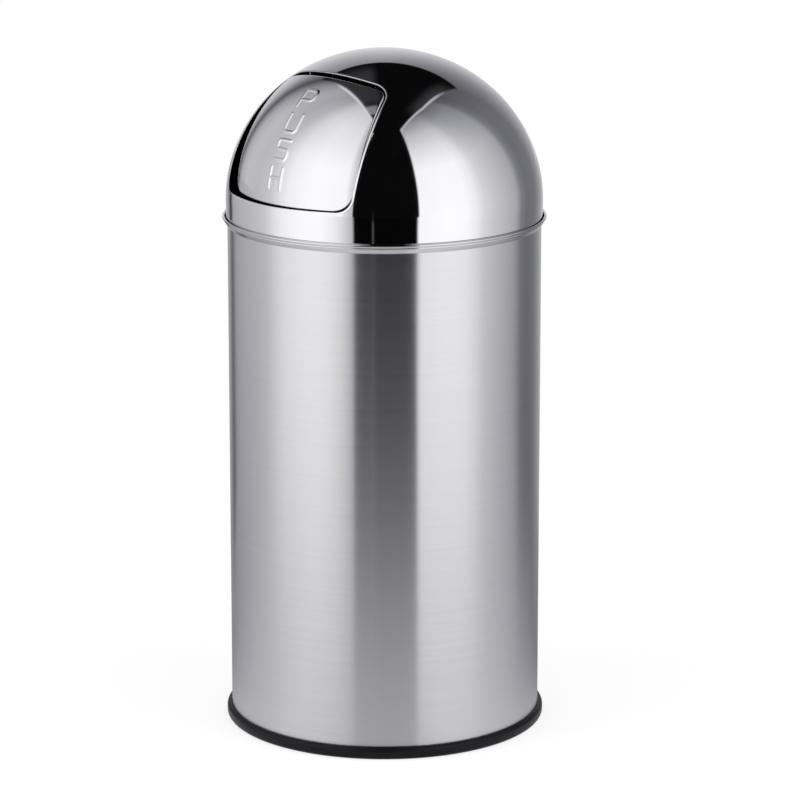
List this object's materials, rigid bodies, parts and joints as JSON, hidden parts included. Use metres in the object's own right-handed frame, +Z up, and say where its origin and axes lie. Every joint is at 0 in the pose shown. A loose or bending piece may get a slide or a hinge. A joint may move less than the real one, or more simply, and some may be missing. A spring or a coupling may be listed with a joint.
{
  "type": "dome top waste receptacle",
  "caption": "Free-standing round waste bin: brushed tube on a plastic base ring, lift-off polished dome with a self-closing push flap, and a lift-out inner bucket with a wire bail.",
  "frame": {"origin": "on the floor, under the centre of the base ring", "axes": "+Z up along the body's axis; the push flap faces -Y; +X is to the right of someone who faces the flap"},
  "size_m": [0.3099, 0.31, 0.6552],
  "materials": {
    "brushed_body": "brushed round the tube, satin",
    "polished_dome": "mirror polished stainless steel",
    "polished_flap": "bright polished stainless steel",
    "plain_steel": "plain mill finish",
    "galvanised": "galvanised, faint spangle",
    "spring_steel": "drawn wire, plated",
    "black_plastic": "moulded, satin",
    "white_plastic": "moulded, slightly waxy",
    "stop_rubber": "matte"
  },
  "bodies": {
    "receptacle": {"body_shell": "brushed_body", "floor_plate": "galvanised", "base_ring": "black_plastic"},
    "lid": {"dome_shell": "polished_dome", "lid_collar": "black_plastic", "hinge_cheek_left": "plain_steel", "hinge_cheek_right": "plain_steel", "hinge_rod": "plain_steel", "rod_cap_left": "black_plastic", "rod_cap_right": "black_plastic", "flap_stop_left": "stop_rubber", "flap_stop_right": "stop_rubber", "spring_left": "spring_steel", "spring_right": "spring_steel"},
    "flap": {"flap_panel": "polished_flap", "flap_lug_left": "plain_steel", "flap_lug_right": "plain_steel", "flap_bush_left": "white_plastic", "flap_bush_right": "white_plastic"},
    "bucket": {"bucket_shell": "galvanised", "bucket_base": "galvanised", "bail_ear_left": "galvanised", "bail_ear_right": "galvanised", "ear_rivets": "plain_steel"},
    "bail": {"bail_handle": "spring_steel"}
  },
  "joints": [
    {"name": "lid_lift", "type": "slide", "parent": "receptacle", "child": "lid", "axis": [0, 0, 1], "range_m": [0, 0.68]},
    {"name": "flap_hinge", "type": "hinge", "parent": "lid", "child": "flap", "pos_m": [0, -0.04305, 0.61259], "axis": [1, 0, 0], "range_deg": [0, 60], "stiffness_Nm_per_rad": 0.3, "springref_deg": -51.57},
    {"name": "bucket_lift", "type": "slide", "parent": "receptacle", "child": "bucket", "axis": [0, 0, 1], "range_m": [0, 0.476]},
    {"name": "bail_swing", "type": "hinge", "parent": "bucket", "child": "bail", "pos_m": [0, 0, 0.4663], "axis": [1, 0, 0], "range_deg": [0, 180]}
  ],
  "couplings": [
    {"joint": "bucket_lift", "follows": "lid_lift", "ratio": 0.7}
  ]
}
